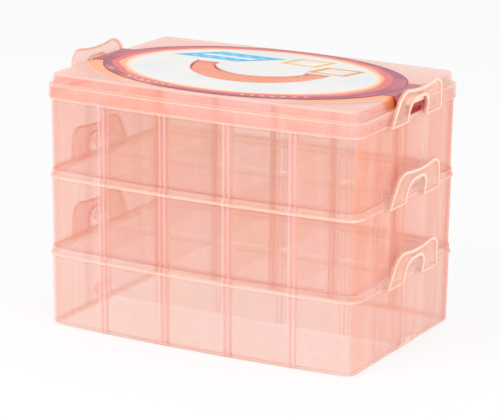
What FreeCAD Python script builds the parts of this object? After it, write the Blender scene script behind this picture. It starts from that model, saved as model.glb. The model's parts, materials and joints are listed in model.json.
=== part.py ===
import FreeCAD, Part
import math
import os
import Sketcher

# Craft storage box: three alike trays that nest and clip on each other, a clip-on lid with a
# fold-down carry handle under a printed card, and dividers that slot into the trays.
# X runs along the box, Y from front to back, Z up; the origin is under the middle of the base.
# All sizes are in millimetres.

SIZES = {
    # outline of the whole box, over the skirt of the lid
    "box_length": 320.0,
    "box_depth": 221.0,
    "side_bow": 7.0,
    "corner_radius": 15.0,
    # walls of a tray
    "wall_thickness": 1.8,
    "floor_thickness": 2.0,
    "base_inset": 3.1,
    "wall_lean": 1.0,
    "base_round": 5.0,
    "lip_height": 69.4,
    "lip_thickness": 2.0,
    "lip_inset": 0.7,
    "lip_round": 0.6,
    "rim_height": 5.5,
    "nest_depth": 1.7,
    # partition along the tray, and the slots for its dividers
    "partition_thickness": 1.6,
    "slot_count": 4,
    "slot_pitch": 64.6,
    "rib_width": 2.6,
    "rib_depth": 2.8,
    "slot_clearance": 0.3,
    # dividers
    "divider_thickness": 1.5,
    "divider_clearance": 0.4,
    # clip tab at each end of a tray, with its window
    "tab_width": 101.0,
    "tab_height": 30.5,
    "tab_thickness": 2.0,
    "tab_gap": 0.6,
    "tab_flare": 4.8,
    "hinge_reach": 3.8,
    "hump_spacing": 57.0,
    "hump_radius": 16.0,
    "valley_depth": 2.4,
    "bead_width": 2.4,
    "bead_height": 1.0,
    "window_width": 36.0,
    "window_height": 19.0,
    "window_round": 12.0,
    "foot_drop": 4.5,
    # lugs that the windows catch
    "lug_width": 30.0,
    "lug_foot": 2.2,
    "lug_ramp": 6.0,
    "lug_round": 9.0,
    "lug_clearance": 0.4,
    "lug_gap": 1.2,
    "lid_lug_height": 8.6,
    "lid_lug_round": 8.0,
    # lid
    "skirt_height": 12.0,
    "rim_clearance": 0.3,
    "lid_thickness": 2.0,
    "deck_inset": 5.8,
    "deck_bow": 3.6,
    "deck_radius": 7.0,
    "deck_rise": 9.8,
    "deck_lean": 0.8,
    "deck_round": 1.5,
    "ledge_round": 1.2,
    # carry handle and its well
    "handle_span": 136.0,
    "handle_reach": 60.3,
    "pivot_back": 15.0,
    "grip_width": 28.5,
    "knuckle_width": 19.0,
    "knuckle_room": 3.4,
    "handle_thickness": 6.4,
    "handle_sunk": 0.5,
    "handle_round": 1.8,
    "well_clearance": 1.0,
    "well_floor_gap": 0.3,
    "pin_radius": 2.0,
    "pin_length": 2.6,
    "pin_clearance": 0.08,
    "boss_radius": 3.6,
    # printed card on the lid
    "card_thickness": 0.4,
    "card_length": 296.0,
    "card_depth": 201.0,
    "card_gap": 0.3,
    "ear_width": 54.0,
    "ear_root": 22.0,
    "ear_drop": 9.6,
}

X_AXIS = FreeCAD.Vector(1, 0, 0)
Z_AXIS = FreeCAD.Vector(0, 0, 1)
START, END, CENTRE = 1, 2, 3
ORIGIN_POINT = (-1, 1)

doc = FreeCAD.newDocument("storage_box")
sheet = doc.addObject("Spreadsheet::Sheet", "sizes")
for row, (alias, number) in enumerate(SIZES.items(), start=1):
    sheet.set(f"A{row}", str(number))
    sheet.setAlias(f"A{row}", alias)
doc.recompute()

# Sizes that follow from the sheet, as expressions
HALF_LENGTH = "(sizes.box_length / 2)"
HALF_DEPTH = "(sizes.box_depth / 2)"
SIDE_RADIUS = f"(({HALF_LENGTH}^2 + sizes.side_bow^2) / (2 * sizes.side_bow))"
TRAY_HEIGHT = "(sizes.lip_height + sizes.rim_height)"
TRAY_PITCH = f"({TRAY_HEIGHT} - sizes.nest_depth)"
LIP_INSIDE = "(sizes.base_inset - sizes.wall_lean)"
RIM_INSET = f"(sizes.base_inset - sizes.wall_lean * {TRAY_HEIGHT} / sizes.lip_height)"
DRAFT = "atan(sizes.wall_lean / sizes.lip_height)"
SLOT_WIDTH = "(sizes.divider_thickness + 2 * sizes.slot_clearance)"
OUTER_SLOT = "(sizes.slot_pitch * (sizes.slot_count - 1) / 2)"
FLOOR_EDGE = (f"({HALF_DEPTH} - sizes.base_inset - sizes.wall_thickness"
              f" - {OUTER_SLOT}^2 / (2 * {SIDE_RADIUS}))")
RIB_TIP = f"({FLOOR_EDGE} - sizes.rib_depth)"
WINDOW_INSIDE = f"({HALF_LENGTH} - {LIP_INSIDE} + sizes.tab_gap)"
TAB_INSIDE = f"({WINDOW_INSIDE} + sizes.hinge_reach)"
TAB_LEAN = "atan(sizes.tab_flare / sizes.tab_height)"
SHOULDER = "(sizes.window_height - sizes.window_round / 3)"
BAR_INSIDE = f"({TAB_INSIDE} + sizes.tab_flare * {SHOULDER} / sizes.tab_height)"
LUG_NOSE = f"({BAR_INSIDE} - sizes.lug_clearance)"
SKIRT_FOOT = f"(2 * {TRAY_PITCH} + sizes.lip_height)"
LEDGE = f"({SKIRT_FOOT} + sizes.skirt_height)"
DECK_TOP = f"({LEDGE} + sizes.deck_rise)"
LUG_TOP = f"(sizes.window_height - sizes.lug_gap + sizes.lip_height - {TRAY_PITCH})"
LID_LUG_TOP = f"({SKIRT_FOOT} + sizes.window_height - sizes.lug_gap)"
HANDLE_BASE = f"({DECK_TOP} - sizes.handle_sunk - sizes.handle_thickness)"
PIVOT_HEIGHT = f"({HANDLE_BASE} + sizes.handle_thickness / 2)"
WELL_FLOOR = f"({HANDLE_BASE} - sizes.well_floor_gap)"
WELL_WALL = "(sizes.well_clearance + sizes.lid_thickness)"
KNUCKLE_OUTSIDE = "(sizes.handle_span / 2)"
KNUCKLE_INSIDE = f"({KNUCKLE_OUTSIDE} - sizes.knuckle_width)"


def value(expression):
    """The number that an expression on the sheet stands for now."""
    return float(sheet.evalExpression(expression.replace("sizes.", "")))


def origin_plane(body, role):
    return [part for part in body.Origin.OriginFeatures if part.Role == role][0]


class Drawing:
    """A sketch on one of its body's origin planes, every dimension bound to the sheet."""

    def __init__(self, body, name, plane, offset="0"):
        self.sketch = body.newObject("Sketcher::SketchObject", name)
        self.sketch.AttachmentSupport = [(origin_plane(body, plane), "")]
        self.sketch.MapMode = "FlatFace"
        self.sketch.setExpression("AttachmentOffset.Base.z", offset)

    def bind(self, constraint, expression):
        index = self.sketch.addConstraint(constraint)
        self.sketch.setExpression(f"Constraints[{index}]", expression)

    def line(self, start, end):
        ends = [FreeCAD.Vector(value(x), value(y), 0) for x, y in (start, end)]
        return self.sketch.addGeometry(Part.LineSegment(*ends), False)

    def arc(self, centre, radius, begin, finish, held=True):
        """Counterclockwise arc between two angles in radians, its radius and centre bound."""
        middle = FreeCAD.Vector(value(centre[0]), value(centre[1]), 0)
        circle = Part.Circle(middle, Z_AXIS, value(radius))
        index = self.sketch.addGeometry(Part.ArcOfCircle(circle, begin, finish), False)
        self.bind(Sketcher.Constraint("Radius", index, value(radius)), radius)
        if held:
            self.place(index, CENTRE, centre)
        return index

    def place(self, index, end, point):
        """Bind a point's distances from the origin; a distance of nothing lies on the axis."""
        for kind, axis, text in zip(("DistanceX", "DistanceY"), (-2, -1), point):
            if text == "0":
                self.sketch.addConstraint(
                    Sketcher.Constraint("PointOnObject", index, end, axis))
            else:
                self.bind(Sketcher.Constraint(kind, *ORIGIN_POINT, index, end, value(text)), text)

    def touch(self, first, first_end, second, second_end, kind="Coincident"):
        self.sketch.addConstraint(
            Sketcher.Constraint(kind, first, first_end, second, second_end))

    def polygon(self, points):
        """Closed outline of straight lines, each corner bound to the sheet."""
        count = len(points)
        lines = [self.line(points[i], points[(i + 1) % count]) for i in range(count)]
        for i in range(count):
            self.touch(lines[i], END, lines[(i + 1) % count], START)
            self.place(lines[i], START, points[i])

    def rectangle(self, left, right, low, high):
        self.polygon([(left, low), (right, low), (right, high), (left, high)])

    def bowed_outline(self, length, depth, side_radius, corner_radius):
        """Plan of the box: straight ends, long sides bowed out, corners tangent to both."""
        half_length, half_depth = value(length) / 2, value(depth) / 2
        radius, corner = value(side_radius), value(corner_radius)
        side_y = radius - half_depth
        corner_x = half_length - corner
        corner_y = math.sqrt((radius - corner) ** 2 - corner_x ** 2) - side_y
        turn = math.atan2(corner_y + side_y, corner_x)
        side_centre = f"{side_radius} - {depth} / 2"
        front = self.arc(("0", side_centre), side_radius, turn - math.pi, -turn)
        back = self.arc(("0", f"-({side_centre})"), side_radius, turn, math.pi - turn)
        corners = {}
        for x_sign, y_sign in ((1, -1), (1, 1), (-1, 1), (-1, -1)):
            begin, finish = sorted((0 if x_sign > 0 else math.pi * y_sign,
                                    y_sign * (turn if x_sign > 0 else math.pi - turn)))
            centre = FreeCAD.Vector(x_sign * corner_x, y_sign * corner_y, 0)
            circle = Part.Circle(centre, Z_AXIS, corner)
            index = self.sketch.addGeometry(Part.ArcOfCircle(circle, begin, finish), False)
            self.bind(Sketcher.Constraint("Radius", index, corner), corner_radius)
            corners[x_sign, y_sign] = index
        for x_sign in (1, -1):
            low = FreeCAD.Vector(x_sign * half_length, -corner_y, 0)
            high = FreeCAD.Vector(x_sign * half_length, corner_y, 0)
            end = self.sketch.addGeometry(Part.LineSegment(low, high), False)
            self.sketch.addConstraint(Sketcher.Constraint("Vertical", end))
            self.bind(Sketcher.Constraint("DistanceX", *ORIGIN_POINT, end, START,
                                          x_sign * half_length), f"{x_sign} * {length} / 2")
            front_corner, back_corner = corners[x_sign, -1], corners[x_sign, 1]
            near, far = (END, START) if x_sign > 0 else (START, END)
            self.touch(front_corner, near, end, START, "Tangent")
            self.touch(back_corner, far, end, END, "Tangent")
            self.touch(front_corner, far, front, END if x_sign > 0 else START, "Tangent")
            self.touch(back_corner, near, back, START if x_sign > 0 else END, "Tangent")

    def box_outline(self, inset):
        """The box's own outline, moved in by an even distance."""
        self.bowed_outline(f"(sizes.box_length - 2 * {inset})", f"(sizes.box_depth - 2 * {inset})",
                           f"({SIDE_RADIUS} - {inset})", f"(sizes.corner_radius - {inset})")


def new_body(name):
    return doc.addObject("PartDesign::Body", name)


def pad(body, drawing, length, taper=None, midplane=False, reverse=False):
    feature = body.newObject("PartDesign::Pad", drawing.sketch.Name + "_pad")
    feature.Profile = drawing.sketch
    feature.Midplane = midplane
    feature.Reversed = reverse
    feature.setExpression("Length", length)
    if taper:
        feature.setExpression("TaperAngle", taper)
    doc.recompute()
    return feature


def round_edges(body, radius, chosen):
    """Fillet the edges of the body's last feature for which chosen(edge) is true."""
    base = body.Tip
    names = [f"Edge{i}" for i, edge in enumerate(base.Shape.Edges, start=1) if chosen(edge)]
    fillet = body.newObject("PartDesign::Fillet", base.Name + "_round")
    fillet.Base = (base, names)
    fillet.setExpression("Radius", radius)
    doc.recompute()
    return fillet


def lies_at(height):
    """Chooses the edges that lie level at a height."""
    level = value(height)
    return lambda edge: all(abs(point.z - level) < 1e-4 for point in level_points(edge))


def level_points(edge):
    return [edge.valueAt(edge.FirstParameter + share * (edge.LastParameter - edge.FirstParameter))
            for share in (0, 0.5, 1)]


def box(name, low, high):
    """Part::Box between two corners given as expressions."""
    solid = doc.addObject("Part::Box", name)
    for prop, start, end in zip(("Length", "Width", "Height"), low, high):
        solid.setExpression(prop, f"{end} - ({start})")
    for axis, start in zip("xyz", low):
        solid.setExpression(f"Placement.Base.{axis}", start)
    return solid


def fuse(name, *parts):
    union = doc.addObject("Part::MultiFuse", name)
    union.Shapes = list(parts)
    union.Refine = True
    return union


def common(name, *parts):
    overlap = doc.addObject("Part::MultiCommon", name)
    overlap.Shapes = list(parts)
    return overlap


def cut(name, base, tool):
    difference = doc.addObject("Part::Cut", name)
    difference.Base = base
    difference.Tool = tool
    difference.Refine = True
    return difference


def mirrored(name, source):
    """The same form at the other end of the box."""
    copy = doc.addObject("Part::Mirroring", name)
    copy.Source = source
    copy.Normal = X_AXIS
    return copy


def node(name, source, shift=("0", "0", "0")):
    """A finished sub-part: one copy of a form, in its place in the box."""
    copy = doc.addObject("Part::Compound", name)
    copy.Label = name
    copy.Links = [source]
    for axis, distance in zip("xyz", shift):
        copy.setExpression(f"Placement.Base.{axis}", distance)
    return copy


# Tray: a drafted block and its cavity

def tray_block():
    body = new_body("tray_block")
    outline = Drawing(body, "block_outline", "XY_Plane")
    outline.box_outline("sizes.base_inset")
    pad(body, outline, TRAY_HEIGHT, taper=DRAFT)
    round_edges(body, "sizes.base_round", lies_at("0"))
    return body


def tray_cavity():
    body = new_body("tray_cavity")
    floor_inset = ("(sizes.base_inset + sizes.wall_thickness"
                   " - sizes.wall_lean * sizes.floor_thickness / sizes.lip_height)")
    outline = Drawing(body, "cavity_outline", "XY_Plane", "sizes.floor_thickness")
    outline.box_outline(floor_inset)
    pad(body, outline, f"{TRAY_HEIGHT} + sizes.rim_height - sizes.floor_thickness", taper=DRAFT)
    round_edges(body, "sizes.base_round - sizes.wall_thickness", lies_at("sizes.floor_thickness"))
    return body


def tray_lip():
    body = new_body("tray_lip")
    outline = Drawing(body, "lip_outline", "XY_Plane", "sizes.lip_height - sizes.lip_thickness")
    outline.box_outline("sizes.lip_inset")
    pad(body, outline, "sizes.lip_thickness")
    round_edges(body, "sizes.lip_round", lies_at("sizes.lip_height"))
    return body


# Partition and slot ribs, as long as the tray before they are trimmed to it

def tray_bars():
    body = new_body("tray_bars")
    plan = Drawing(body, "partition_plan", "XY_Plane")
    plan.rectangle(f"-{HALF_LENGTH}", HALF_LENGTH,
                   "-sizes.partition_thickness / 2", "sizes.partition_thickness / 2")
    pad(body, plan, TRAY_PITCH)
    ribs = Drawing(body, "rib_plan", "XY_Plane")
    cheek = "(sizes.partition_thickness / 2 + sizes.rib_depth)"
    for side in (-1, 1):
        inner = f"(-{OUTER_SLOT} + {side} * {SLOT_WIDTH} / 2)"
        outer = f"({inner} + {side} * sizes.rib_width)"
        left, right = (outer, inner) if side < 0 else (inner, outer)
        ribs.rectangle(left, right, f"-{HALF_DEPTH}", f"-{RIB_TIP}")
        ribs.rectangle(left, right, f"-{cheek}", cheek)
        ribs.rectangle(left, right, RIB_TIP, HALF_DEPTH)
    rib_pad = pad(body, ribs, TRAY_PITCH)
    slots = body.newObject("PartDesign::LinearPattern", "slot_ribs")
    slots.Originals = [rib_pad]
    slots.Direction = (ribs.sketch, ["H_Axis"])
    slots.setExpression("Length", "sizes.slot_pitch * (sizes.slot_count - 1)")
    slots.setExpression("Occurrences", "sizes.slot_count")
    body.Tip = slots
    doc.recompute()
    return body


# Clip tab: a leaning plate with an M-shaped top, a beaded edge and an arched window

def m_outline(drawing, inset, foot):
    """Outline with two humps and a shallow valley, moved in by an even distance."""
    depth = "sizes.valley_depth"
    hump_x = "(sizes.hump_spacing / 2)"
    reach = f"(({hump_x}^2 + {depth}^2) / (2 * {depth}))"
    hump_radius = f"(sizes.hump_radius - {inset})"
    hump_y = "(sizes.tab_height - sizes.hump_radius)"
    valley_radius = f"({reach} - sizes.hump_radius + {inset})"
    valley_y = f"({reach} + {hump_y} - {depth})"
    inner = math.atan2(value(valley_y) - value(hump_y), value(hump_x))
    across = value(f"sizes.tab_width / 2 - {inset} - {hump_x}")
    rise = value(f"{hump_y} - ({foot})")
    side = math.acos(value(hump_radius) / math.hypot(across, rise)) - math.atan2(rise, across)
    right = drawing.arc((hump_x, hump_y), hump_radius, side, math.pi - inner)
    left = drawing.arc((f"-{hump_x}", hump_y), hump_radius, inner, math.pi - side)
    valley = drawing.arc(("0", valley_y), valley_radius, -math.pi + inner, -inner, held=False)
    corner = f"(sizes.tab_width / 2 - {inset})"
    touch_x = value(hump_x) + value(hump_radius) * math.cos(side)
    touch_y = value(hump_y) + value(hump_radius) * math.sin(side)
    base = drawing.line((f"-{corner}", foot), (corner, foot))
    drawing.place(base, START, (f"-{corner}", foot))
    drawing.place(base, END, (corner, foot))
    low = FreeCAD.Vector(value(corner), value(foot), 0)
    high = FreeCAD.Vector(touch_x, touch_y, 0)
    right_side = drawing.sketch.addGeometry(Part.LineSegment(low, high), False)
    low.x, high.x = -low.x, -high.x
    left_side = drawing.sketch.addGeometry(Part.LineSegment(high, low), False)
    drawing.touch(base, END, right_side, START)
    drawing.touch(right_side, END, right, START, "Tangent")
    drawing.touch(right, END, valley, END, "Tangent")
    drawing.touch(valley, START, left, START, "Tangent")
    drawing.touch(left, END, left_side, START, "Tangent")
    drawing.touch(left_side, END, base, START)


def arch_outline(drawing, grow, foot):
    """Inverted U of the window, moved out by an even distance."""
    half = f"(sizes.window_width / 2 + {grow})"
    top = f"(sizes.window_height + {grow})"
    radius = f"(sizes.window_round + {grow})"
    centre_x = "(sizes.window_width / 2 - sizes.window_round)"
    centre_y = "(sizes.window_height - sizes.window_round)"
    right = drawing.arc((centre_x, centre_y), radius, 0, math.pi / 2)
    left = drawing.arc((f"-{centre_x}", centre_y), radius, math.pi / 2, math.pi)
    base = drawing.line((f"-{half}", foot), (half, foot))
    right_side = drawing.line((half, foot), (half, centre_y))
    crown = drawing.line((centre_x, top), (f"-{centre_x}", top))
    left_side = drawing.line((f"-{half}", centre_y), (f"-{half}", foot))
    drawing.place(base, START, (f"-{half}", foot))
    drawing.place(base, END, (half, foot))
    drawing.touch(base, END, right_side, START)
    drawing.touch(right_side, END, right, START, "Tangent")
    drawing.touch(right, END, crown, START, "Tangent")
    drawing.touch(crown, END, left, START, "Tangent")
    drawing.touch(left, END, left_side, START, "Tangent")
    drawing.touch(left_side, END, base, START)


def tab_drawing(body, name, plane=TAB_INSIDE):
    """A drawing on the tab's inner face: across the box, and up the leaning plate."""
    drawing = Drawing(body, name, "YZ_Plane", plane)
    sketch = drawing.sketch
    sketch.AttachmentOffset = FreeCAD.Placement(FreeCAD.Vector(), FreeCAD.Rotation(X_AXIS, 1))
    sketch.setExpression("AttachmentOffset.Base.y", "sizes.lip_height")
    sketch.setExpression("AttachmentOffset.Rotation.Angle", TAB_LEAN)
    return drawing


def clip_tab():
    body = new_body("clip_tab")
    plate = tab_drawing(body, "tab_plate")
    m_outline(plate, "0", "-sizes.lip_thickness")
    pad(body, plate, "sizes.tab_thickness")
    bead = tab_drawing(body, "tab_bead")
    m_outline(bead, "0", "-sizes.lip_thickness")
    m_outline(bead, "sizes.bead_width", "0")
    pad(body, bead, "sizes.tab_thickness + sizes.bead_height")
    frame = tab_drawing(body, "window_frame")
    arch_outline(frame, "sizes.bead_width", "0")
    pad(body, frame, "sizes.tab_thickness + sizes.bead_height")
    return body


def hinge_strip():
    """Strip of the lip that carries the tab clear of the wall."""
    half = "(sizes.tab_width / 2)"
    return box("hinge_strip",
               (f"{HALF_LENGTH} - {LIP_INSIDE}", f"-{half}",
                "sizes.lip_height - sizes.lip_thickness"),
               (f"{TAB_INSIDE} + sizes.tab_thickness / 2", half, "sizes.lip_height"))


def tab_window():
    body = new_body("tab_window")
    opening = tab_drawing(body, "window_opening", WINDOW_INSIDE)
    arch_outline(opening, "0", "-sizes.foot_drop")
    pad(body, opening, "sizes.hinge_reach + sizes.tab_thickness + 3 * sizes.bead_height")
    return body


def rounded_lug(name, side_points, top, corner):
    """Lug as wide as the window allows, from its side view, with its top corners rounded."""
    body = new_body(name)
    side = Drawing(body, name + "_side", "XZ_Plane")
    side.polygon(side_points)
    pad(body, side, "sizes.lug_width", midplane=True)
    round_edges(body, corner,
                lambda edge: lies_at(top)(edge) and abs(edge.tangentAt(edge.FirstParameter).x) > 0.99)
    return body


def tray_lug():
    """Ramped lug low on the end wall, caught by the window of the tray below."""
    root = f"({HALF_LENGTH} - sizes.base_inset - sizes.wall_thickness)"
    wall = f"({HALF_LENGTH} - sizes.base_inset)"
    return rounded_lug("tray_lug", [
        (root, "sizes.lug_foot"), (wall, "sizes.lug_foot"),
        (LUG_NOSE, "(sizes.lug_foot + sizes.lug_ramp)"), (LUG_NOSE, LUG_TOP),
        (root, LUG_TOP)], LUG_TOP, "sizes.lug_round")


def build_tray():
    block, cavity, lip, bars = tray_block(), tray_cavity(), tray_lip(), tray_bars()
    tab, strip, window, lug = clip_tab(), hinge_strip(), tab_window(), tray_lug()
    solid = fuse("tray_solid", block, lip, tab, mirrored("left_tab", tab), strip,
                 mirrored("left_strip", strip), lug, mirrored("left_lug", lug))
    hollow = cut("tray_hollow", solid, cavity)
    windows = fuse("tray_windows", window, mirrored("left_window", window))
    shell = cut("tray_shell", hollow, windows)
    trimmed = common("trimmed_bars", block, bars)
    return fuse("tray_form", shell, trimmed)


# Divider, drawn for the rear row

def divider_form():
    body = new_body("divider_form")
    inner = "(sizes.partition_thickness / 2 + sizes.divider_clearance)"
    foot = f"({FLOOR_EDGE} - sizes.divider_clearance)"
    top = f"({TRAY_PITCH} - sizes.slot_clearance)"
    lean = f"(sizes.wall_lean * ({top} - sizes.floor_thickness) / sizes.lip_height)"
    side = Drawing(body, "divider_side", "YZ_Plane")
    side.polygon([(inner, "sizes.floor_thickness"), (foot, "sizes.floor_thickness"),
                  (f"({foot} + {lean})", top), (inner, top)])
    pad(body, side, "sizes.divider_thickness", midplane=True)
    round_edges(body, "sizes.base_round", lambda edge: lies_at("sizes.floor_thickness")(edge)
                and abs(edge.tangentAt(edge.FirstParameter).x) > 0.99)
    return body


# Carry handle: a crescent that tapers toward two knuckles with pins

def crescent(drawing, grow):
    """Plan of the handle, moved out by an even distance."""
    back = f"(sizes.pivot_back + sizes.handle_thickness / 2 + {grow})"
    arcs = []
    for half, reach, side in (
            (KNUCKLE_OUTSIDE, "sizes.handle_reach", 1),
            (KNUCKLE_INSIDE, "(sizes.handle_reach - sizes.grip_width)", -1)):
        own = f"(({half}^2 + {reach}^2) / (2 * {reach}))"
        centre = ("0", f"(sizes.pivot_back - {reach} + {own})")
        radius = f"({own} + {side} * ({grow}))"
        rise = value(back) - value(centre[1])
        finish = math.asin(rise / value(radius))
        arcs.append(drawing.arc(centre, radius, -math.pi - finish, finish))
    outer, inner = arcs
    for end in (START, END):
        ends = [drawing.sketch.getPoint(arc, end) for arc in (inner, outer)]
        line = drawing.sketch.addGeometry(Part.LineSegment(*ends), False)
        drawing.touch(line, START, inner, end)
        drawing.touch(line, END, outer, end)
        drawing.bind(Sketcher.Constraint("DistanceY", *ORIGIN_POINT, line, START, value(back)),
                     back)
        drawing.sketch.addConstraint(Sketcher.Constraint("Horizontal", line))


def rod(name, radius, start, end):
    """Cylinder along X on the pivot line."""
    turned = doc.addObject("Part::Cylinder", name)
    turned.setExpression("Radius", radius)
    turned.setExpression("Height", f"{end} - ({start})")
    turned.Placement.Rotation = FreeCAD.Rotation(FreeCAD.Vector(0, 1, 0), 90)
    turned.setExpression("Placement.Base.x", start)
    turned.setExpression("Placement.Base.y", "sizes.pivot_back")
    turned.setExpression("Placement.Base.z", PIVOT_HEIGHT)
    return turned


def build_handle():
    body = new_body("handle_bow")
    plan = Drawing(body, "handle_plan", "XY_Plane", HANDLE_BASE)
    crescent(plan, "0")
    pad(body, plan, "sizes.handle_thickness")
    round_edges(body, "sizes.handle_thickness / 2 - sizes.pin_clearance",
                lambda edge: abs(edge.tangentAt(edge.FirstParameter).x) > 0.99
                and not isinstance(edge.Curve, Part.Circle))
    round_edges(body, "sizes.handle_round",
                lambda edge: isinstance(edge.Curve, Part.Circle)
                and abs(edge.Curve.Axis.z) > 0.99)
    pin = rod("pin", "sizes.pin_radius", f"({KNUCKLE_OUTSIDE} - sizes.pin_length)",
              f"({KNUCKLE_OUTSIDE} + sizes.well_clearance + sizes.pin_length)")
    return fuse("handle_form", body, pin, mirrored("left_pin", pin))


# Lid: skirt and ledge, raised deck, lugs for the top tray's windows, and handle well

def deck_drawing(body, name, inset, height):
    drawing = Drawing(body, name, "XY_Plane", height)
    length = f"(sizes.box_length - 2 * (sizes.deck_inset + {inset}))"
    depth = f"(sizes.box_depth - 2 * (sizes.deck_inset + {inset}))"
    half = f"({HALF_LENGTH} - sizes.deck_inset)"
    radius = f"(({half}^2 + sizes.deck_bow^2) / (2 * sizes.deck_bow) - {inset})"
    drawing.bowed_outline(length, depth, radius, f"(sizes.deck_radius - {inset})")
    return drawing


def lid_block():
    body = new_body("lid_block")
    skirt = Drawing(body, "skirt_outline", "XY_Plane", SKIRT_FOOT)
    skirt.box_outline("0")
    pad(body, skirt, "sizes.skirt_height")
    round_edges(body, "sizes.ledge_round", lies_at(LEDGE))
    deck = deck_drawing(body, "deck_outline", "0", f"{LEDGE} - sizes.lid_thickness")
    pad(body, deck, "sizes.deck_rise + sizes.lid_thickness",
        taper="-atan(sizes.deck_lean / sizes.deck_rise)")
    round_edges(body, "sizes.deck_round", lies_at(DECK_TOP))
    return body


def lid_cavity():
    body = new_body("lid_cavity")
    wall = f"({RIM_INSET} - sizes.rim_clearance)"
    skirt = Drawing(body, "skirt_inside", "XY_Plane", f"{SKIRT_FOOT} - sizes.lid_thickness")
    skirt.box_outline(wall)
    pad(body, skirt, "sizes.skirt_height")
    deck = deck_drawing(body, "deck_inside", "sizes.lid_thickness",
                        f"{LEDGE} - 2 * sizes.lid_thickness")
    pad(body, deck, "sizes.deck_rise + sizes.lid_thickness",
        taper="-atan(sizes.deck_lean / sizes.deck_rise)")
    return body


def lid_lug():
    """Lug that stands out from the deck's end into the window of the top tray."""
    root = f"({HALF_LENGTH} - sizes.deck_inset - sizes.lid_thickness)"
    low = f"({LID_LUG_TOP} - sizes.lid_lug_height)"
    return rounded_lug("lid_lug", [(root, low), (LUG_NOSE, low), (LUG_NOSE, LID_LUG_TOP),
                                   (root, LID_LUG_TOP)], LID_LUG_TOP, "sizes.lid_lug_round")


def well(name, grow, bottom, top):
    body = new_body(name)
    plan = Drawing(body, name + "_plan", "XY_Plane", bottom)
    crescent(plan, grow)
    pad(body, plan, f"{top} - ({bottom})")
    return body


def knuckle_box(name, grow, bottom, top):
    """Room beside a knuckle, where the tapering handle swings up."""
    half = f"(sizes.handle_thickness / 2 + {grow})"
    return box(name, (f"{KNUCKLE_INSIDE} - sizes.knuckle_room - {grow}",
                      f"sizes.pivot_back - {half} - sizes.handle_sunk", bottom),
               (f"({KNUCKLE_INSIDE} + sizes.knuckle_width / 2)",
                f"(sizes.pivot_back + {half})", f"({top})"))


def build_lid():
    lug = lid_lug()
    shell = cut("lid_shell", lid_block(), lid_cavity())
    tub = well("tub", WELL_WALL, f"{WELL_FLOOR} - sizes.lid_thickness",
               f"{DECK_TOP} - sizes.lid_thickness / 2")
    boss = rod("pin_boss", "sizes.boss_radius", f"({KNUCKLE_OUTSIDE} + sizes.well_clearance)",
               f"({KNUCKLE_OUTSIDE} + {WELL_WALL} + sizes.pin_length)")
    bore = rod("pin_bore", "sizes.pin_radius + sizes.pin_clearance",
               f"({KNUCKLE_OUTSIDE} - sizes.knuckle_width / 2)",
               f"({KNUCKLE_OUTSIDE} + sizes.well_clearance + sizes.pin_length"
               " + sizes.well_floor_gap)")
    knuckle_tub = knuckle_box("knuckle_tub", WELL_WALL, f"{WELL_FLOOR} - sizes.lid_thickness",
                              f"{DECK_TOP} - sizes.lid_thickness / 2")
    added = fuse("lid_additions", shell, tub, knuckle_tub,
                 mirrored("left_knuckle_tub", knuckle_tub), boss, mirrored("left_boss", boss),
                 lug, mirrored("left_lid_lug", lug))
    hollow = well("handle_well", "sizes.well_clearance", WELL_FLOOR, f"{DECK_TOP} + 1")
    swing_room = knuckle_box("swing_room", "sizes.well_clearance", WELL_FLOOR, f"{DECK_TOP} + 1")
    removed = fuse("lid_removals", hollow, swing_room, mirrored("left_swing_room", swing_room),
                   bore, mirrored("left_bore", bore))
    return cut("lid_form", added, removed), removed


# Printed card on the deck, with an ear folded down behind each tab

def build_card(handle_room):
    rim = doc.addObject("Part::Ellipse", "card_rim")
    rim.setExpression("MajorRadius", "sizes.card_length / 2")
    rim.setExpression("MinorRadius", "sizes.card_depth / 2")
    rim.setExpression("Placement.Base.z", DECK_TOP)
    sheet_form = doc.addObject("Part::Extrusion", "card_sheet")
    sheet_form.Base = rim
    sheet_form.Dir = Z_AXIS
    sheet_form.DirMode = "Custom"
    sheet_form.Solid = True
    sheet_form.setExpression("LengthFwd", "sizes.card_thickness")
    ear = new_body("card_ear")
    root = "(sizes.card_length / 2 - sizes.ear_root)"
    brow = f"({HALF_LENGTH} - sizes.deck_inset + sizes.card_gap)"
    face = f"({HALF_LENGTH} + sizes.card_gap)"
    shelf = f"({LEDGE} + sizes.card_gap)"
    foot = f"({LEDGE} - sizes.ear_drop)"
    card = "sizes.card_thickness"
    side = Drawing(ear, "ear_side", "XZ_Plane")
    side.polygon([(root, DECK_TOP), (brow, DECK_TOP), (face, shelf), (face, foot),
                  (f"({face} + {card})", foot), (f"({face} + {card})", shelf),
                  (f"({brow} + {card} / 2)", f"({DECK_TOP} + {card})"),
                  (root, f"({DECK_TOP} + {card})")])
    pad(ear, side, "sizes.ear_width", midplane=True)
    slot = box("ear_slot", (brow, "-(sizes.lug_width / 2 + sizes.lug_gap)",
                            f"{LID_LUG_TOP} - sizes.lid_lug_height - sizes.lug_gap"),
               (f"{HALF_LENGTH} + sizes.lid_thickness", "(sizes.lug_width / 2 + sizes.lug_gap)",
                f"{LID_LUG_TOP} + sizes.lug_gap"))
    whole = fuse("whole_card", sheet_form, ear, mirrored("left_ear", ear))
    openings = fuse("card_openings", slot, mirrored("left_slot", slot), handle_room)
    return cut("card_form", whole, openings)


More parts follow.
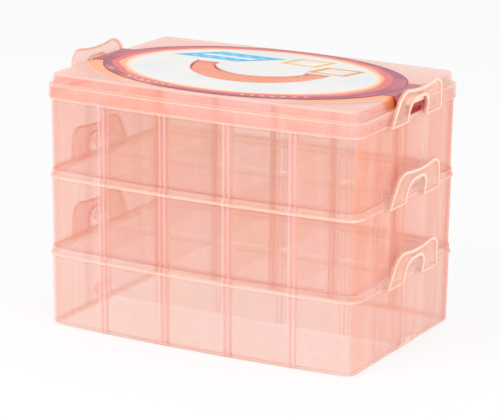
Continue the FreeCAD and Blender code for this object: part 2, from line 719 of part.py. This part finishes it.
tray = build_tray()
divider = divider_form()
front_divider = doc.addObject("Part::Mirroring", "front_divider")
front_divider.Source = divider
front_divider.Normal = FreeCAD.Vector(0, 1, 0)
lid, handle_room = build_lid()
card = build_card(handle_room)
handle = build_handle()
pieces = []
FILLED_SLOTS = {
    "middle": {"front": (1, 2, 3, 4), "rear": (1, 2, 3, 4)},
    "top": {"front": (1, 2, 4), "rear": (1, 2, 3, 4)},
}
for level, layer in enumerate(("bottom", "middle", "top")):
    base = f"{level} * {TRAY_PITCH}"
    pieces.append(node(layer + "_tray", tray, ("0", "0", base)))
    for row, filled in FILLED_SLOTS.get(layer, {}).items():
        form = front_divider if row == "front" else divider
        for slot in filled:
            across = f"{slot - 1} * sizes.slot_pitch - {OUTER_SLOT}"
            pieces.append(node(f"{layer}_{row}_divider_{slot}", form, (across, "0", base)))
pieces += [node("lid", lid), node("lid_label", card), node("handle", handle)]
doc.recompute()

for thing in doc.Objects:
    if "Invalid" in thing.State or "Error" in thing.State:
        raise RuntimeError(f"{thing.Name} failed: {thing.getStatusString()}")
os.makedirs("parts", exist_ok=True)
for piece in pieces:
    if piece.Shape.isNull() or not piece.Shape.isValid() or len(piece.Shape.Solids) != 1:
        raise RuntimeError(f"{piece.Label} is not one valid solid")
    piece.Shape.Solids[0].exportStep(f"parts/{piece.Label}.step")
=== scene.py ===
import json
import math

import bpy
from mathutils import Matrix, Vector

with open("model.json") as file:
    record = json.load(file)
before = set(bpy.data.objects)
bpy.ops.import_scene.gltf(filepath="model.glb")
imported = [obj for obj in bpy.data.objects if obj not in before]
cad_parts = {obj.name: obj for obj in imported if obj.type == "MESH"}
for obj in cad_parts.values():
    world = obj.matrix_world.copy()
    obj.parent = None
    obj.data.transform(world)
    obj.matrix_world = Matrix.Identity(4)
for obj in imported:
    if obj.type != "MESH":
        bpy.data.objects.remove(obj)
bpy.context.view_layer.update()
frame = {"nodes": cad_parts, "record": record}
bpy.ops.object.select_all(action="DESELECT")
DIVIDERS = [entry["node"] for entry in frame["record"]["subparts"]
            if "_divider_" in entry["node"]]


# Shader maths: a socket with ordinary operators

def add_node(tree, kind, settings=(), inputs=(), output=0):
    """A node of a type, its settings made first, its sockets set or linked after."""
    made = tree.nodes.new(kind)
    for name, setting in dict(settings).items():
        setattr(made, name, setting)
    for name, given in dict(inputs).items():
        if isinstance(given, Value):
            tree.links.new(given.socket, made.inputs[name])
        else:
            made.inputs[name].default_value = given
    return Value(tree, made.outputs[output])


class Value:
    """One socket of a node tree; arithmetic on it adds Math nodes."""

    def __init__(self, tree, socket):
        self.tree = tree
        self.socket = socket

    def node(self, kind, settings=(), inputs=(), output=0):
        return add_node(self.tree, kind, settings, inputs, output)

    def math(self, operation, *others):
        return self.node("ShaderNodeMath", {"operation": operation}, enumerate((self,) + others))

    def __add__(self, other):
        return self.math("ADD", other)

    def __sub__(self, other):
        return self.math("SUBTRACT", other)

    def __mul__(self, other):
        return self.math("MULTIPLY", other)

    def __truediv__(self, other):
        return self.math("DIVIDE", other)

    def __rsub__(self, other):
        return (self - other) * -1.0

    __radd__ = __add__
    __rmul__ = __mul__

    def abs(self):
        return self.math("ABSOLUTE")

    def sine(self):
        return self.math("SINE")

    def least(self, other):
        return self.math("MINIMUM", other)

    def most(self, other):
        return self.math("MAXIMUM", other)

    def step(self, low, high):
        """0 below low, 1 above high, smooth between."""
        return self.node("ShaderNodeMapRange", {"interpolation_type": "SMOOTHSTEP"},
                         {"Value": self, "From Min": low, "From Max": high,
                          "To Min": 0.0, "To Max": 1.0})

    def under(self, limit, soft):
        """1 up to the limit, 0 from there on, with a soft edge."""
        return 1.0 - self.step(limit, limit + soft)

    def band(self, low, high, soft=0.0006):
        """1 from low to high, with a soft edge outside each of them."""
        return self.step(low - soft, low) * self.under(high, soft)

    def axis(self, name):
        """One coordinate of a vector."""
        return self.node("ShaderNodeSeparateXYZ", (), {0: self}, name)

    def scaled(self, *factors):
        """The vector with each of its coordinates multiplied."""
        return self.node("ShaderNodeVectorMath", {"operation": "MULTIPLY"},
                         {0: self, 1: factors})

    def noise(self, scale, detail, roughness=0.5):
        return self.node("ShaderNodeTexNoise", (),
                         {"Vector": self, "Scale": scale, "Detail": detail,
                          "Roughness": roughness}, "Fac")

    def over(self, below, above):
        """Colour above where this is 1, colour below where it is 0."""
        return self.node("ShaderNodeMix", {"data_type": "RGBA"},
                         {"Factor": self, 6: below, 7: above}, 2)


def ellipse(x, y, half_x, half_y, centre_x=0.0, centre_y=0.0):
    """How far from the centre of an ellipse a point lies: 1 on its edge."""
    across, deep = (x - centre_x) / half_x, (y - centre_y) / half_y
    return (across * across + deep * deep).math("SQRT")


def colour(red, green, blue):
    """Linear colour of an sRGB one given from 0 to 255."""
    def channel(level):
        share = level / 255
        return share / 12.92 if share <= 0.04045 else ((share + 0.055) / 1.055) ** 2.4
    return (channel(red), channel(green), channel(blue), 1.0)


class Finish:
    """A material with one Principled shader, its pattern read from Object coordinates."""

    def __init__(self, name, **constants):
        self.material = bpy.data.materials.new(name)
        self.material.use_nodes = True
        self.tree = self.material.node_tree
        self.shader = self.tree.nodes["Principled BSDF"]
        for socket, number in constants.items():
            self.shader.inputs[socket.replace("_", " ")].default_value = number
        self.place = add_node(self.tree, "ShaderNodeTexCoord", output="Object")

    def axes(self):
        return [self.place.axis(name) for name in "XYZ"]

    def feed(self, socket, given):
        self.tree.links.new(given.socket, self.shader.inputs[socket])

    def bump(self, height, strength, distance):
        self.feed("Normal", height.node("ShaderNodeBump", (), {
            "Height": height, "Strength": strength, "Distance": distance}, "Normal"))

    def on(self, *nodes):
        for name in nodes:
            for slot in frame["nodes"][name].material_slots:
                slot.material = self.material


# Sizes that the patterns share with the solids, in metres

TRAY_PITCH = 0.0732
LIP_LOW, LIP_TOP = 0.0674, 0.0694
END_WALL, LIP_END, HALF_LENGTH = 0.150, 0.1596, 0.160
TAB_INSIDE, TAB_SLOPE = 0.1623, 4.8 / 30.5
SLOT_PITCH, FIRST_SLOT = 0.0646, -0.0969
SKIRT_FOOT, LEDGE, DECK = 0.2162, 0.2278, 0.2376
LID_LUG_FOOT, LID_LUG_SHADE = 0.2244, 0.2286
CARD_HALF_LENGTH, CARD_HALF_DEPTH = 0.148, 0.1005

PEACH = colour(255, 192, 162)
PINK = colour(255, 196, 182)
APRICOT = colour(255, 176, 144)
CREAM = colour(255, 218, 198)
ORANGE = colour(246, 150, 104)
ROSE = colour(244, 150, 140)
WHITE = colour(236, 233, 230)
YELLOW = colour(238, 190, 84)
GOLD = colour(222, 160, 48)
# Deep red for the painted shadow under the lid's lugs
SHADOW_RED = colour(158, 0, 0)


# Moulded translucent plastic

class Moulding(Finish):
    """Peach-pink polypropylene: cloudy, with flow streaks, more solid where it is thick, and with
    painted highlights on its thick edges and bends.
    """

    def __init__(self, name, clear, tints=(PEACH, PINK), roughness=0.16, streaks=0.4):
        super().__init__(name, IOR=1.49, Specular_IOR_Level=0.4)
        self.x, self.y, self.z = self.axes()
        self.cloud = self.place.noise(14.0, 2.0)
        self.flow = self.place.scaled(1.0, 1.0, 0.06).noise(110.0, 3.0, 0.6)
        self.tint = self.cloud.step(0.35, 0.7).over(*tints)
        self.tint = (self.flow.step(0.5, 0.75) * streaks).over(self.tint, CREAM)
        self.solid = self.flow.step(0.45, 0.8) * 0.04 + clear
        self.rough = self.cloud * 0.06 + roughness

    def thicken(self, mask, amount):
        """More solid, or clearer for a negative amount, where the mask is 1."""
        self.solid = self.solid + mask * amount

    def paint(self, mask, shade, strength, solid=0.0):
        """Shade over the tint where the mask is 1, made more solid there."""
        self.tint = (mask * strength).over(self.tint, shade)
        if solid:
            self.thicken(mask, solid)

    def close(self, *nodes):
        self.feed("Base Color", self.tint)
        self.feed("Alpha", self.solid.least(1.0))
        self.feed("Roughness", self.rough)
        ripple = self.place.scaled(1.0, 1.0, 0.25).noise(38.0, 2.0)
        self.bump(ripple + self.flow * 0.3, 0.1, 0.0005)
        self.on(*nodes)


def tray_plastic(tray, base, floor_lit_wall_solid):
    """Plastic of one tray, whose underside is at base; the last argument sets how solid its end
    walls are, less on the lower trays so that they show lighter as painted bounce light from the
    floor.
    """
    finish = Moulding(tray.replace("tray", "tray_plastic"), 0.14)
    height = finish.z - base
    end, side = finish.x.abs(), finish.y.abs()
    paint_end_walls(finish, end, floor_lit_wall_solid)

    inner = end.under(END_WALL, 0.002)
    finish.thicken(inner * side.step(0.092, 0.098), 0.05)
    partition = side.under(0.001, 0.001)
    finish.thicken(partition, -0.05)
    finish.paint(inner * height.under(0.002, 0.0004), APRICOT, 0.7, 0.03)

    paint_slots(finish, end, side)
    foot = height.under(0.001, 0.005) * side.step(0.094, 0.104).most(end.step(0.148, 0.153))
    finish.paint(foot, ORANGE, 0.6, 0.2)
    lip = height.band(LIP_LOW, LIP_TOP)
    outside = end.step(LIP_END, HALF_LENGTH)
    # Lips: more solid as thick plastic, with a painted cream highlight along them
    finish.paint(lip - lip * outside, CREAM, 0.65, 0.18)
    # Further painted highlight on the front lips, the side the light falls on
    finish.paint(lip * finish.y.under(-0.092, 0.004), CREAM, 0.3, 0.12)
    paint_tabs(finish, end, height)
    # Stronger painted cream highlight on the lips past the end walls
    finish.paint(lip * outside, CREAM, 0.8, 0.35)
    lug = height.band(0.0055, 0.0145) * end.step(HALF_LENGTH, HALF_LENGTH + 0.0006)
    finish.paint(lug, CREAM, 0.8, 0.3)
    finish.close(tray)


def paint_end_walls(finish, end, floor_lit_wall_solid):
    """Apricot with upright streaks, orange in the back corners and a painted cream highlight in
    the front ones.
    """
    streak = finish.place.scaled(1.0, 1.0, 0.02).noise(75.0, 3.0, 0.6)
    wall = end.step(0.1515, 0.1535) * end.under(0.1592, 0.0004)
    # End walls apricot, as solid as the tray's level gives: less solid low down, painted lighter
    # for the floor's bounce light
    finish.paint(wall, colour(255, 164, 124), 0.95, floor_lit_wall_solid)
    finish.paint(wall * streak.step(0.48, 0.62), ROSE, 0.5, 0.08)
    finish.paint(wall * streak.under(0.36, 0.10), colour(255, 200, 170), 0.4, 0.02)
    finish.paint(wall * finish.flow.step(0.55, 0.66), CREAM, 0.35, 0.04)
    corner = end.step(END_WALL, END_WALL + 0.006)
    finish.paint(corner * finish.y.step(0.080, 0.096), colour(250, 140, 92), 0.9, 0.3)
    # Painted highlight: cream down the front corners, where the bend catches the light
    finish.paint(corner * finish.y.under(-0.103, 0.008), CREAM, 0.55, 0.12)


def paint_slots(finish, end, side):
    """A pale pink band on the long walls at each slot, with a cream rib on both sides of it."""
    half = SLOT_PITCH / 2
    from_slot = half - (finish.x - FIRST_SLOT + half).math("PINGPONG", half)
    slotted = end.under(0.112, 0.002) * side.step(0.095, 0.099)
    finish.paint(slotted * from_slot.under(0.0036, 0.0016), colour(255, 190, 190), 0.7, 0.12)
    finish.paint(slotted * from_slot.band(0.0016, 0.0034), CREAM, 0.6, 0.1)


def paint_tabs(finish, end, height):
    """Pale clip tabs, with a bead that stands proud of their leaning face, drawn more solid and
    given a painted cream highlight.
    """
    proud = end - (height - LIP_TOP) * TAB_SLOPE - TAB_INSIDE
    bead = proud.step(0.0021, 0.0024) * height.step(LIP_TOP - 0.002, LIP_TOP)
    # Painted cream highlight on the bead, which is also drawn more solid as thick plastic
    finish.paint(bead, CREAM, 0.95, 0.6)
    tab = end.step(0.1618, 0.1622) * height.step(LIP_TOP, LIP_TOP + 0.001)
    finish.paint(tab, CREAM, 0.4, 0.2)


def divider_plastic():
    finish = Moulding("divider_plastic", 0.13)
    side_edges = finish.y.abs().step(0.0985, 0.0995)
    finish.paint(side_edges, CREAM, 0.6, 0.3)
    finish.close(*DIVIDERS)


def lid_plastic():
    finish = Moulding("lid_plastic", 0.38, (colour(255, 182, 160), colour(255, 190, 180)),
                      streaks=0.12)
    x, y, z = finish.x, finish.y, finish.z
    from_card = ellipse(x, y, CARD_HALF_LENGTH, CARD_HALF_DEPTH)
    finish.paint(z.step(DECK - 0.003, DECK - 0.0015), colour(255, 200, 188), 0.6, 0.25)
    finish.paint(z.band(LEDGE - 0.0012, LEDGE + 0.0006), CREAM, 0.6, 0.2)
    deck_edge = z.step(DECK - 0.0018, DECK - 0.0006) * from_card.step(0.98, 1.0)
    finish.paint(deck_edge, CREAM, 0.4, 0.08)
    # Painted light: orange colour bounce and shade from the card on the deck beside its front
    # ends
    card_bounce_shade = from_card.band(0.96, 1.08, 0.05) * x.abs().step(0.06, 0.10)
    finish.paint(card_bounce_shade * y.under(-0.02, 0.025), colour(252, 150, 84), 1.0, 0.5)
    back_right = y.step(0.04, 0.10) * x.step(0.05, 0.12)
    finish.paint(back_right, colour(255, 214, 204), 0.8)
    finish.paint(z.under(SKIRT_FOOT, 0.0006), CREAM, 0.5, 0.1)
    lug = x.abs().step(0.1602, 0.1606) * z.step(LID_LUG_FOOT, LID_LUG_FOOT + 0.0004)
    finish.paint(lug, colour(255, 214, 178), 0.95, 0.55)
    # Painted shadow: the lug's lower part deep red, standing in for the shade beneath it
    finish.paint(lug * z.under(LID_LUG_SHADE, 0.0004), SHADOW_RED, 1.0, 0.1)
    finish.close("lid")


def handle_plastic():
    finish = Moulding("handle_plastic", 0.9, roughness=0.3)
    finish.paint(finish.cloud.step(0.2, 0.5), colour(244, 132, 72), 0.8)
    finish.close("handle")


# Printed card: rings round a white middle, a striped band, two frames and a row of dots

def label_print():
    finish = Finish("label_print", IOR=1.47, Specular_IOR_Level=0.18)
    x, y, z = finish.axes()
    rim = ellipse(x, y, CARD_HALF_LENGTH, CARD_HALF_DEPTH)
    ring = ellipse(x, y, 0.120, 0.085, -0.002, 0.001)
    wash = finish.place.noise(22.0, 4.0)
    front = y.under(-0.02, 0.02)
    shade = printed_rings(ring, wash)
    shade = printed_ribbon(shade, x, y, ring)
    shade = printed_frames(shade, x, y, wash)

    turn = y.math("ARCTAN2", x)
    dots = (turn * 74.0).sine().step(0.0, 0.6) * (turn * 5.0).sine().step(0.0, 0.2)
    dotted = rim.band(0.925, 0.942, 0.003) * dots * front
    shade = (dotted * 0.95).over(shade, colour(246, 222, 220))
    swell = rim.band(0.95, 1.0, 0.004) * wash.step(0.5, 0.6) * x.under(-0.02, 0.02) * front
    shade = swell.over(shade, colour(238, 150, 118))
    shade = rim.band(0.993, 0.999, 0.002).over(shade, colour(128, 66, 82))

    ear = rim.step(0.998, 1.002)
    shade = ear.over(shade, wash.step(0.4, 0.6).over(colour(172, 92, 108), colour(196, 110, 122)))
    fold = z.under(0.2352, 0.0014)
    shade = fold.over(shade, colour(206, 108, 116))
    # Painted shadow: deep red on the ear's foot, seen through the tab window in the shade under
    # the lid's lug
    shadow_below_lug = z.under(0.2262, 0.0006) * y.abs().under(0.0165, 0.001)
    shade = shadow_below_lug.over(shade, SHADOW_RED)
    finish.feed("Base Color", shade)
    finish.feed("Roughness", wash * 0.15 + 0.32)
    finish.bump(finish.place.noise(900.0, 2.0), 0.04, 0.0002)
    finish.on("lid_label")


def printed_rings(ring, wash):
    """Plum, coral, peach and cream from outside in, then white with faint blue clouds."""
    drift = wash * 0.12 - 0.06
    shade = wash.step(0.42, 0.62).over(colour(158, 84, 104), colour(198, 106, 122))
    shade = (ring + drift).under(1.11, 0.03).over(shade, colour(230, 112, 112))
    shade = (ring + drift).under(1.055, 0.015).over(shade, colour(250, 176, 140))
    shade = ring.under(1.02, 0.006).over(shade, colour(252, 216, 180))
    shade = ring.under(0.99, 0.008).over(shade, WHITE)
    clouds = ring.under(0.95, 0.04) * wash.step(0.45, 0.7)
    return (clouds * 0.5).over(shade, colour(214, 226, 236))


def leaning_bar(x, y, centre, half_x, half_y, lean):
    """How far out of a leaning rectangle a point lies, in parts of its half size."""
    up = y - centre[1]
    along = x - centre[0] - up * lean
    return (along / half_x).abs().most((up / half_y).abs())


def printed_ribbon(shade, x, y, ring):
    """A blue band with slanting stripes, a darker edge and a pale line along it."""
    centre, lean = (-0.050, 0.046), 1.1
    inside = ring.under(0.955, 0.01)
    ribbon = leaning_bar(x, y, centre, 0.034, 0.0155, lean)
    stripes = (x * 420.0 + y * 300.0).sine().step(-0.2, 0.6)
    shade = (ribbon.under(1.0, 0.02) * inside).over(
        shade, stripes.over(colour(92, 186, 230), colour(122, 204, 238)))
    shade = (ribbon.band(0.90, 1.0, 0.02) * inside).over(shade, colour(64, 162, 214))
    line = leaning_bar(x, y, centre, 0.025, 0.003, lean)
    return line.under(1.0, 0.1).over(shade, colour(226, 240, 246))


def printed_frames(shade, x, y, wash):
    """Two leaning frames with a pale, mottled inside."""
    for centre, tone in (((0.026, 0.058), YELLOW), ((0.066, 0.036), GOLD)):
        border = leaning_bar(x, y, centre, 0.019, 0.0135, 0.3)
        shade = border.under(1.0, 0.04).over(shade, tone)
        picture = wash.step(0.4, 0.6).over(colour(246, 238, 234), colour(240, 218, 218))
        shade = border.under(0.72, 0.04).over(shade, picture)
    return shade


# Camera, light and floor

PICTURE_WIDTH = 500


def camera():
    """Camera as fitted to the photograph; the focal length is in its pixels."""
    azimuth, elevation, roll = (math.radians(angle) for angle in (28.692, 15.096, 0.61))
    away, focal = 2.3729, 2570.2
    target = Vector((-0.004756, 0.004853, 0.106724))
    back = Vector((math.sin(azimuth) * math.cos(elevation),
                   -math.cos(azimuth) * math.cos(elevation), math.sin(elevation)))
    right = Vector((math.cos(azimuth), math.sin(azimuth), 0.0))
    up = back.cross(right)
    turned_right = right * math.cos(roll) + up * math.sin(roll)
    turned_up = up * math.cos(roll) - right * math.sin(roll)
    lens = bpy.data.cameras.new("camera")
    lens.sensor_width = 36.0
    lens.lens = focal / PICTURE_WIDTH * lens.sensor_width
    lens.clip_end = 50.0
    view = bpy.data.objects.new("camera", lens)
    turn = Matrix((turned_right, turned_up, back)).transposed().to_4x4()
    view.matrix_world = Matrix.Translation(target + back * away) @ turn
    bpy.context.collection.objects.link(view)
    bpy.context.scene.camera = view


def softbox(name, place, size, power):
    """Round soft lamp, aimed at the middle of the box."""
    light = bpy.data.lights.new(name, "AREA")
    light.shape = "DISK"
    light.size = size
    light.energy = power
    lamp = bpy.data.objects.new(name, light)
    lamp.location = place
    aim = Vector((0.0, 0.0, 0.1)) - Vector(place)
    lamp.rotation_euler = aim.to_track_quat("-Z", "Y").to_euler()
    bpy.context.collection.objects.link(lamp)


def seen_rays(tree):
    """1 for the rays that show a background: straight, mirrored and through glass."""
    kinds = add_node(tree, "ShaderNodeLightPath").socket.node.outputs
    straight, mirrored, through = (Value(tree, kinds[name]) for name in (
        "Is Camera Ray", "Is Glossy Ray", "Is Transmission Ray"))
    return straight.most(mirrored).most(through)


def studio_floor():
    """Pale paper that keeps the shadow and otherwise shows as near white."""
    bpy.ops.mesh.primitive_plane_add(size=30.0, location=(0.0, 0.0, -0.0002))
    floor = bpy.context.active_object
    floor.name = "studio_floor"
    paper = Finish("floor_paper", Roughness=0.95, Specular_IOR_Level=0.05)
    paper.shader.inputs["Base Color"].default_value = (0.94, 0.94, 0.94, 1.0)
    glow = add_node(paper.tree, "ShaderNodeEmission")
    lit = Value(paper.tree, paper.shader.outputs[0])
    blend = add_node(paper.tree, "ShaderNodeMixShader", (),
                     {0: seen_rays(paper.tree) * 0.8, 1: lit, 2: glow})
    surface = paper.tree.nodes["Material Output"].inputs["Surface"]
    paper.tree.links.new(blend.socket, surface)
    floor.data.materials.append(paper.material)


def studio_light():
    world = bpy.data.worlds.new("studio")
    bpy.context.scene.world = world
    world.use_nodes = True
    sky = world.node_tree.nodes["Background"]
    sky.inputs["Color"].default_value = (1, 1, 1, 1)
    strength = seen_rays(world.node_tree) * 0.3 + 0.7
    world.node_tree.links.new(strength.socket, sky.inputs["Strength"])
    softbox("key", (-0.9, -1.6, 1.2), size=1.4, power=18.5)
    softbox("fill", (1.8, -0.9, 0.9), size=1.4, power=17.0)
    softbox("top", (0.2, 0.5, 2.0), size=1.2, power=3.0)


# The end walls are less solid on the lower trays, painted lighter for the floor's bounce light
for level, (tray, floor_lit_wall_solid) in enumerate((("bottom_tray", 0.10), ("middle_tray", 0.15),
                                        ("top_tray", 0.18))):
    tray_plastic(tray, level * TRAY_PITCH, floor_lit_wall_solid)
divider_plastic()
lid_plastic()
handle_plastic()
label_print()
camera()
studio_floor()
studio_light()
bpy.context.scene.view_settings.view_transform = "Standard"
# A line of sight passes through more walls than the usual 8 bounces let it
bpy.context.scene.cycles.transparent_max_bounces = 64
